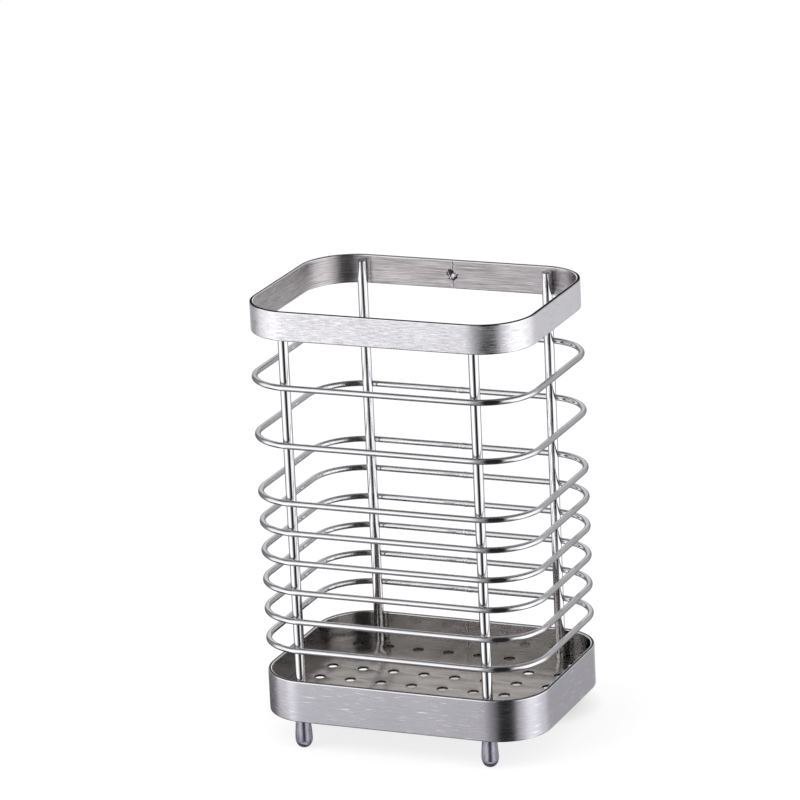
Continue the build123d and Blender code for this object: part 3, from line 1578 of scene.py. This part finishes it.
@dataclass
class WallStud:
    """The turned stud that hangs the rack, and the plug weld that holds it in the band."""

    band: FlatBand
    shank_radius: float = 2.0 * MM
    shank_step: float = 0.6 * MM
    plug_share: float = 0.9
    neck: float = 0.2 * MM
    neck_break: float = 0.06 * MM
    head_radius: float = 4.5 * MM
    head_thickness: float = 1.4 * MM
    head_round: float = 0.5 * MM
    head_steps: int = 5
    head_support: float = 0.3 * MM
    sides: int = 56
    weld_radius: float = 2.4 * MM
    weld_offset: float = -1.5 * MM
    weld_crown: float = 0.42 * MM
    weld_base: float = 0.35 * MM
    crown_power: float = 2.6
    weld_rows: int = 9
    weld_sides: int = 36
    lobe_count: int = 5
    lobe_rates: tuple[float, float] = (1.0, 3.5)
    lobe_depth: float = 0.10
    ripple_rates: tuple[float, float] = (2600.0, 2300.0)
    ripple_phases: tuple[float, float] = (1.0, 0.4)
    ripple_depth: float = 0.11 * MM
    pit_place: Place = (1.25 * MM, -1.35 * MM)
    pit_radius: float = 0.66 * MM
    pit_depth: float = 0.9 * MM
    dot_radius: float = 0.42 * MM
    dot_depth: float = 0.34 * MM
    weld_shade_angle: float = 70.0
    seed: int = 17

    def centre(self) -> Vector:
        """Return where the stud's axis meets the outside of the band."""
        return Vector((0.0, self.band.high.y, (self.band.low.z + self.band.high.z) / 2))

    def placed(self, mesh: Mesh) -> Mesh:
        """Turn a mesh from the Z axis to the stud's axis, heights growing to the wall.

        Args:
            mesh: The mesh to turn and move.

        Returns:
            The same mesh.
        """
        turn = Matrix.Rotation(-math.pi / 2, 4, "X")
        mesh.transform(Matrix.Translation(self.centre()) @ turn)
        tidy_normals(mesh)
        return mesh

    def stud(self) -> Mesh:
        """Build the shank and the head.

        Returns:
            The closed mesh.
        """
        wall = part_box("hanging_stud")[1].y - self.band.high.y
        head_start = wall - self.head_thickness
        edge = self.head_round
        head = self.head_radius
        start = -self.band.thickness * self.plug_share
        shank = spaced(start, head_start - self.neck, self.shank_step)
        profile = [(0.0, start), *[(self.shank_radius, height) for height in shank]]
        profile += [(self.shank_radius + self.neck_break, head_start - self.neck_break)]
        profile += [(self.shank_radius + self.neck, head_start)]
        profile += arc((head - edge, head_start + edge), edge, -90.0, 0.0, self.head_steps)
        profile += arc((head - edge, wall - edge), edge, 0.0, 90.0, self.head_steps)
        profile += [(head - edge - self.head_support, wall), (0.0, wall)]
        mesh = self.placed(lathe("stud", profile, self.sides))
        smooth(mesh)
        return mesh

    def roughen(self, mesh: Mesh) -> None:
        """Make a weld crown uneven, with a pit at its side and a dot in its middle.

        Args:
            mesh: The crown, still upright round the Z axis.
        """
        chance = random.Random(self.seed)
        waves = [
            (chance.uniform(*self.lobe_rates), chance.uniform(0.0, FULL_TURN))
            for _ in range(self.lobe_count)
        ]
        (rate_x, rate_y), (phase_x, phase_y) = self.ripple_rates, self.ripple_phases
        pit_x, pit_y = self.pit_place
        for vertex in mesh.vertices:
            x, y, z = vertex.co
            if z > 0.0:
                continue
            reach = math.hypot(x, y)
            turn = math.atan2(y, x)
            lobes = sum(math.sin(turn * round(rate) + phase) for rate, phase in waves) / self.lobe_count
            swell = 1.0 + self.lobe_depth * lobes
            ripple = math.sin(x * rate_x + phase_x) * math.sin(y * rate_y + phase_y)
            lift = self.ripple_depth * ripple * min(1.0, reach / self.weld_radius)
            pit = math.exp(-((x - pit_x) ** 2 + (y - pit_y) ** 2) / self.pit_radius**2)
            dot = math.exp(-(reach**2) / self.dot_radius**2)
            vertex.co = (x * swell, y * swell, z + lift + self.pit_depth * pit + self.dot_depth * dot)

    def plug_weld(self) -> Mesh:
        """Build the lumpy weld crown on the inside of the band.

        Returns:
            The closed mesh.
        """
        profile = [(0.0, -self.weld_crown)]
        for row in range(1, self.weld_rows + 1):
            share = row / self.weld_rows
            drop = self.weld_crown * (1.0 - share**self.crown_power)
            profile.append((self.weld_radius * share, -drop))
        profile += [(self.weld_radius, self.weld_base), (0.0, self.weld_base)]
        mesh = lathe("plug", profile, self.weld_sides)
        self.roughen(mesh)
        self.placed(mesh)
        mesh.transform(Matrix.Translation((self.weld_offset, -self.band.thickness, 0.0)))
        smooth(mesh, self.weld_shade_angle)
        return mesh

    def build(self, steel: Material, weld: Material) -> list[Object]:
        """Put the stud and its weld in the scene.

        Args:
            steel: The stud's finish.
            weld: The weld's finish.

        Returns:
            The new pieces.
        """
        return [
            add_piece("turned_wall_stud", self.stud(), [steel], ("hanging_stud",)),
            add_piece("stud_plug_weld", self.plug_weld(), [weld]),
        ]


# The studio


@dataclass(frozen=True)
class StudioCard:
    """A card on a wide sphere round the rack, seen in reflections alone.

    Azimuth 0 is in front of the rack and grows to its right. Angles are in degrees.
    """

    name: str
    azimuth: float
    half_width: float
    low: float
    high: float
    brightness: float
    side_feather: float
    end_feather: float = 0.25
    distance: float = 2.4
    step: float = 4.0

    def mesh(self, centre: Vector) -> Mesh:
        """Build the card with coordinates from -1 to 1 each way for its soft edges.

        Args:
            centre: The middle of the sphere.

        Returns:
            The card's mesh.
        """
        middle, half_height = (self.low + self.high) / 2, (self.high - self.low) / 2
        across = spaced(-1.0, 1.0, self.step / self.half_width)
        up = spaced(-1.0, 1.0, self.step / half_height)
        places = [(s, t) for t in up for s in across]
        points = [
            centre + outwards(self.azimuth + s * self.half_width, middle + t * half_height) * self.distance
            for s, t in places
        ]
        wide = len(across)
        faces = [
            (row * wide + i, row * wide + i + 1, (row + 1) * wide + i + 1, (row + 1) * wide + i)
            for row in range(len(up) - 1)
            for i in range(wide - 1)
        ]
        mesh = bpy.data.meshes.new(self.name)
        mesh.from_pydata(points, [], faces)
        layer = mesh.uv_layers.new(name=CARD_UV)
        for loop in mesh.loops:
            layer.data[loop.index].uv = places[loop.vertex_index]
        return mesh

    def material(self) -> Material:
        """Build an even glow that fades out at the card's edges.

        Returns:
            The finished material.
        """
        tree = ShaderTree(self.name)
        across, up, _ = tree.parted(tree.uv_coordinates(CARD_UV))
        fades = []
        for way, feather in ((across, self.side_feather), (up, self.end_feather)):
            fade = tree.node("ShaderNodeMapRange", interpolation_type="SMOOTHSTEP")
            size = tree.maths("ABSOLUTE", way)
            tree.feed(fade, Value=size, From_Min=1.0 - feather, From_Max=1.0, To_Min=1.0, To_Max=0.0)
            fades.append(fade.outputs["Result"])
        return faded_glow(tree, tree.maths("MULTIPLY", *fades), self.brightness)


def faded_glow(tree: ShaderTree, cover: Socket, brightness: float) -> Material:
    """Finish a card's tree as an even glow.

    Args:
        tree: The card's tree.
        cover: The share of the glow, where 0 leaves the card clear.
        brightness: The glow's level.

    Returns:
        The finished material.
    """
    glow = tree.node("ShaderNodeEmission")
    tree.feed(glow, Color=(brightness, brightness, brightness * CARD_BLUE, 1.0))
    clear = tree.node("ShaderNodeBsdfTransparent")
    mix = tree.node("ShaderNodeMixShader")
    for source, target in zip((cover, clear.outputs["BSDF"], glow.outputs["Emission"]), mix.inputs):
        tree.link(source, target)
    return tree.glowing(mix.outputs["Shader"])


@dataclass(frozen=True)
class Softbox:
    """A square lamp that faces the rack, hung at two angles in degrees."""

    name: str
    azimuth: float
    elevation: float
    distance: float
    size: float
    power: float

    def hang(self, target: Vector) -> None:
        """Hang the lamp so that it faces a target.

        Args:
            target: The place that it faces.
        """
        light = bpy.data.lights.new(self.name, "AREA")
        light.size = self.size
        light.energy = self.power
        back = outwards(self.azimuth, self.elevation)
        lamp = bpy.data.objects.new(self.name, light)
        lamp.location = target + back * self.distance
        lamp.rotation_mode = "QUATERNION"
        lamp.rotation_quaternion = back.to_track_quat("Z", "Y")
        lamp.visible_glossy = False
        bpy.context.scene.collection.objects.link(lamp)


@dataclass
class Studio:
    """Floor, backdrop light, reflection cards, lamps and camera."""

    layout: Layout
    view_azimuth: float = 23.2013
    view_elevation: float = 16.8545
    view_roll: float = -2.6828
    view_distance: float = 1.760094
    target_x: float = -8.0706 * MM
    target_z: float = 125.274 * MM
    lens: float = 215.54
    sensor: float = 36.0
    clip: tuple[float, float] = (0.05, 50.0)
    floor_size: float = 14.0
    floor_colour: float = 0.26
    floor_lift: float = 0.80
    shade_level: float = 0.5
    # Painted shadow under the rack: how far the floor's lift is dimmed, and where
    shade_shift: float = 28.0 * MM
    shade_squash: float = 0.64
    shade_reach: tuple[float, float] = (20.0 * MM, 36.0 * MM)
    ambient: float = 0.72
    mirrored: float = 1.06
    # A dark disc seen only in reflections: painted shade of the floor round the rack
    mat_radius: float = 0.10
    mat_clear: float = 0.05
    mat_brightness: float = 0.10
    mat_shift: tuple[float, float] = (-42.0 * MM, 30.0 * MM)
    mat_sides: int = 48
    mat_rings: int = 14
    card_height: float = 0.08
    lamp_height: float = 0.09

    def cards(self) -> list[StudioCard]:
        """List the cards that the polished steel mirrors.

        Returns:
            The cards, all round the rack.
        """
        return [
            StudioCard("gap_card", 30.0, 31.0, -80.0, 84.0, 0.02, 0.56, 0.2, distance=2.1),
            StudioCard("gap_foot_card", 54.0, 18.0, -62.0, -19.0, 0.30, 0.6, 0.4, distance=2.12),
            StudioCard("gap_head_card", 58.0, 24.0, 30.0, 80.0, 0.20, 0.6, 0.5, distance=2.12),
            StudioCard("front_low_card", -14.0, 34.0, -75.0, -18.0, 0.25, 0.6, 0.3, distance=2.14),
            StudioCard("left_shade_card", 7.0, 34.0, -70.0, 80.0, 0.35, 0.9, distance=2.16),
            StudioCard("left_head_card", -32.0, 26.0, 16.0, 60.0, 0.95, 0.5, 0.5, distance=2.2),
            StudioCard("ceiling_card", 0.0, 180.0, 22.0, 158.0, 0.10, 0.001, 0.5, distance=2.35),
            StudioCard("left_rear_card", -111.0, 32.0, -34.0, 46.0, 0.27, 0.6, 0.3, distance=2.5),
            StudioCard("far_rear_card", 206.0, 32.0, -75.0, 46.0, 1.0, 0.6, 0.3, distance=2.58),
            StudioCard("rear_card", 166.0, 42.0, -75.0, 46.0, 0.50, 0.6, 0.3, distance=2.6),
            StudioCard("right_card", 94.0, 30.0, -55.0, 20.0, 1.40, 0.8, distance=2.55),
            StudioCard("left_card", -36.0, 31.0, -55.0, 20.0, 1.38, 0.7, distance=2.55),
            StudioCard("low_card", 0.0, 90.0, -158.0, -22.0, 0.08, 0.001, distance=2.7),
        ]

    def lamps(self) -> list[Softbox]:
        """List the softboxes.

        Returns:
            The lamps.
        """
        return [
            Softbox("softbox_left", -48.0, 42.0, distance=1.5, size=1.1, power=9.0),
            Softbox("softbox_right", 86.0, 30.0, distance=1.6, size=0.9, power=4.0),
        ]

    def above(self, height: float, x: float = 0.0) -> Vector:
        """Return a place over the middle of the rack's depth."""
        return Vector((x, self.layout.centre_y, height))

    def hide_from_camera(self, card: Object) -> None:
        """Leave a card to reflections and refractions alone.

        Args:
            card: The card's object.
        """
        card.visible_camera = False
        card.visible_diffuse = False
        card.visible_shadow = False
        card.visible_volume_scatter = False

    def add(self, name: str, mesh: Mesh, material: Material) -> Object:
        """Put a mesh of the studio in the scene.

        Args:
            name: The object's name.
            mesh: Its mesh.
            material: Its material.

        Returns:
            The new object.
        """
        mesh.materials.append(material)
        made = bpy.data.objects.new(name, mesh)
        bpy.context.scene.collection.objects.link(made)
        return made

    def floor_material(self) -> Material:
        """Build a pale floor that is lifted to near white in view, with a painted shadow under the rack.

        Returns:
            The finished material.
        """
        tree = ShaderTree("pale_floor")
        matt = tree.node("ShaderNodeBsdfDiffuse")
        tree.feed(matt, Color=(self.floor_colour, self.floor_colour, self.floor_colour, 1.0))
        path = tree.node("ShaderNodeLightPath").outputs
        seen = tree.maths("MAXIMUM", path["Is Camera Ray"], path["Is Transmission Ray"])
        # Painted shadow: the lift is dimmed in an ellipse under the rack
        shift = (0.0, -self.layout.centre_y - self.shade_shift, 0.0)
        under = tree.mapped(tree.object_coordinates(), Location=shift, Scale=(self.shade_squash, 1.0, 1.0))
        dimmed = self.shade_level * self.floor_lift
        shade = tree.ranged(tree.length(under), dimmed, self.floor_lift, *self.shade_reach)
        lift = tree.feed(tree.node("ShaderNodeEmission"), Strength=tree.maths("MULTIPLY", seen, shade))
        both = tree.node("ShaderNodeAddShader")
        tree.link(matt.outputs["BSDF"], both.inputs[0])
        tree.link(lift.outputs["Emission"], both.inputs[1])
        return tree.glowing(both.outputs["Shader"])

    def floor(self) -> None:
        """Lay a plain pale floor that keeps the rack's shadow, and a painted shadow under the rack as
        well.
        """
        half = self.floor_size / 2
        mesh = bpy.data.meshes.new("floor")
        corners = [(-half, -half, 0.0), (half, -half, 0.0), (half, half, 0.0), (-half, half, 0.0)]
        mesh.from_pydata(corners, [], [(0, 1, 2, 3)])
        floor = self.add("floor", mesh, self.floor_material())
        floor.visible_glossy = False
        floor.visible_transmission = False
        floor.visible_shadow = False

    def disc(self) -> Mesh:
        """Build the mat's flat disc out of rings.

        Returns:
            The disc's mesh.
        """
        sides = self.mat_sides
        points = [(0.0, 0.0, 0.0)]
        for ring in range(1, self.mat_rings + 1):
            reach = self.mat_radius * ring / self.mat_rings
            for side in range(sides):
                turn = FULL_TURN * side / sides
                points.append((reach * math.cos(turn), reach * math.sin(turn), 0.0))
        faces: list[tuple[int, ...]] = [(0, 1 + side, 1 + (side + 1) % sides) for side in range(sides)]
        for ring in range(self.mat_rings - 1):
            inner, outer = 1 + ring * sides, 1 + (ring + 1) * sides
            for side in range(sides):
                after = (side + 1) % sides
                faces.append((inner + side, outer + side, outer + after, inner + after))
        mesh = bpy.data.meshes.new("mat")
        mesh.from_pydata(points, [], faces)
        return mesh

    def mat(self) -> None:
        """Lay a dark glowing disc that undersides and low faces mirror, painted shade of the floor round
        the rack, clear at its outer edge.
        """
        tree = ShaderTree("painted_floor_shade")
        reach = tree.length(tree.object_coordinates())
        cover = tree.ranged(reach, 1.0, 0.0, self.mat_clear, self.mat_radius)
        mat = self.add("mat", self.disc(), faded_glow(tree, cover, self.mat_brightness))
        mat.location = (*self.mat_shift, 0.0)
        self.hide_from_camera(mat)
        mat.visible_transmission = False

    def world(self) -> None:
        """Light the scene evenly, with the white backdrop in view, in metal and in glass."""
        world = bpy.data.worlds.new("studio_air")
        bpy.context.scene.world = world
        world.use_nodes = True
        world.cycles.sampling_method = "NONE"
        tree = NodeBuilder(world.node_tree)
        tree.tree.nodes.clear()
        path = tree.node("ShaderNodeLightPath").outputs
        seen = tree.maths("MAXIMUM", path["Is Camera Ray"], path["Is Glossy Ray"])
        shown = tree.maths("MAXIMUM", seen, path["Is Transmission Ray"])
        level = tree.node("ShaderNodeMapRange")
        tree.feed(level, Value=shown, To_Min=self.ambient, To_Max=self.mirrored)
        air = tree.node("ShaderNodeBackground")
        tree.feed(air, Color=(1.0, 1.0, 1.0, 1.0), Strength=level.outputs["Result"])
        output = tree.node("ShaderNodeOutputWorld")
        tree.link(air.outputs["Background"], output.inputs["Surface"])

    def camera(self) -> None:
        """Stand the camera where the photograph was taken from."""
        roll = math.radians(self.view_roll)
        back = outwards(self.view_azimuth, self.view_elevation)
        right = (-back).cross(Vector((0.0, 0.0, 1.0))).normalized()
        up = right.cross(-back)
        axis_x = right * math.cos(roll) + up * math.sin(roll)
        axis_y = -right * math.sin(roll) + up * math.cos(roll)
        data = bpy.data.cameras.new("view")
        data.sensor_width = self.sensor
        data.lens = self.lens
        data.clip_start, data.clip_end = self.clip
        camera = bpy.data.objects.new("view", data)
        turned = Matrix((axis_x, axis_y, back)).transposed().to_4x4()
        place = self.above(self.target_z, self.target_x) + back * self.view_distance
        camera.matrix_world = Matrix.Translation(place) @ turned
        bpy.context.scene.collection.objects.link(camera)
        bpy.context.scene.camera = camera

    def build(self) -> None:
        """Set up the whole studio."""
        self.world()
        self.floor()
        self.mat()
        for card in self.cards():
            made = self.add(card.name, card.mesh(self.above(self.card_height)), card.material())
            self.hide_from_camera(made)
            made.visible_transmission = card.high > 0.0
        for lamp in self.lamps():
            lamp.hang(self.above(self.lamp_height))
        self.camera()
        bpy.context.scene.view_settings.view_transform = "Standard"


# The finishes that differ from a plain one of their kind

# Near-white: painted light, the lit copy of the bands' one steel
TOP_OUTSIDE = BrushedStrip(
    "top_band_brushing_painted_light",
    dark=(0.91, 0.895, 0.935),
    roughness=0.46,
    anisotropy=0.55,
    hairline_depth=0.004 * MM,
    dash_spread=0.18,
)
# Darker than the band's outside: painted shade inside the basket
TOP_INSIDE = BrushedStrip(
    "top_band_lining_painted_shade",
    light=(0.93, 0.89, 0.905),
    dark=(0.26, 0.245, 0.25),
    hairline_depth=0.006 * MM,
    dash_spread=0.07,
)
# Darker grey: painted shade, the shaded copy of the same steel as the top band
TRAY_OUTSIDE = BrushedStrip(
    "tray_brushing_painted_shade",
    light=(0.63, 0.615, 0.66),
    dark=(0.53, 0.515, 0.56),
    roughness=0.31,
    nick_strength=1.0,
)
# Darker than the tray's outside: painted shade inside the tray
TRAY_INSIDE = BrushedStrip(
    "tray_lining_painted_shade",
    light=(0.50, 0.49, 0.485),
    dark=(0.38, 0.37, 0.365),
    roughness=0.2,
    wave_depth=0.012 * MM,
)
RIM = PolishedSteel("rounded_rim", roughness=0.13, edge_tint=(0.8, 0.8, 0.8))
# Near-black crests of both bands: a painted dark reflection along the top of each rim
TOP_CREST = PolishedSteel("top_band_crest_painted_dark_reflection", clean=(0.05,) * 3, dull=(0.03,) * 3, roughness=0.3)
TRAY_CREST = PolishedSteel("tray_crest_painted_dark_reflection", clean=(0.14,) * 3, dull=(0.09,) * 3, roughness=0.3)
# Near-black: painted shade on the plate's edges, hole walls and hole mouths
PUNCHED_EDGE = WeldMetal(
    "punched_edge_painted_shade", bright=(0.10, 0.095, 0.09), heat_tint_and_shade=(0.05, 0.047, 0.045), roughness=0.4
)
# Near-black patches: painted shade standing in for the weld's pits; the rest is bright weld metal
PLUG_METAL = WeldMetal(
    "plug_metal_with_painted_shade",
    bright=(0.74, 0.73, 0.75),
    heat_tint_and_shade=(0.05, 0.045, 0.045),
    tint_and_shade_cells=(600.0,) * 3,
    tint_and_shade_range=(0.47, 0.57),
)


def main() -> None:
    """Build the rack's pieces in order, then the studio round them."""
    logging.basicConfig(level=logging.INFO, format="%(message)s")
    layout = Layout.read()
    weld = WeldMetal("weld_metal").material()
    rim = RIM.material()
    top_band = FlatBand("top_band", "brushed_top_band", corner=19.6 * MM)
    tray_band = FlatBand("tray_band", "brushed_tray_wall", corner=19.0 * MM, bright_steps=3, seed=8)
    top_band.build(TOP_OUTSIDE.material(), TOP_INSIDE.material(), rim, TOP_CREST.material())
    tray_band.build(TRAY_OUTSIDE.material(), TRAY_INSIDE.material(), rim, TRAY_CREST.material())
    SeamWeld(top_band, "top_band_seam").build(weld)
    SeamWeld(tray_band, "tray_wall_seam", seed=9).build(weld)
    DrainPlate(layout).build(BrushedPlate("plate_brushing").material(), PUNCHED_EDGE.material())
    Posts(layout).build(PolishedSteel("polished_post").material())
    WireRings(layout).build(PolishedSteel("polished_ring_wire").material())
    CrossingWelds(layout).build(weld)
    FootCaps(layout).build(ClearVinyl("clear_vinyl").material())
    stud = WallStud(top_band)
    stud.build(TurnedSteel("turned_steel", tuple(stud.centre())).material(), PLUG_METAL.material())
    Studio(layout).build()


if __name__ == "__main__":
    main()
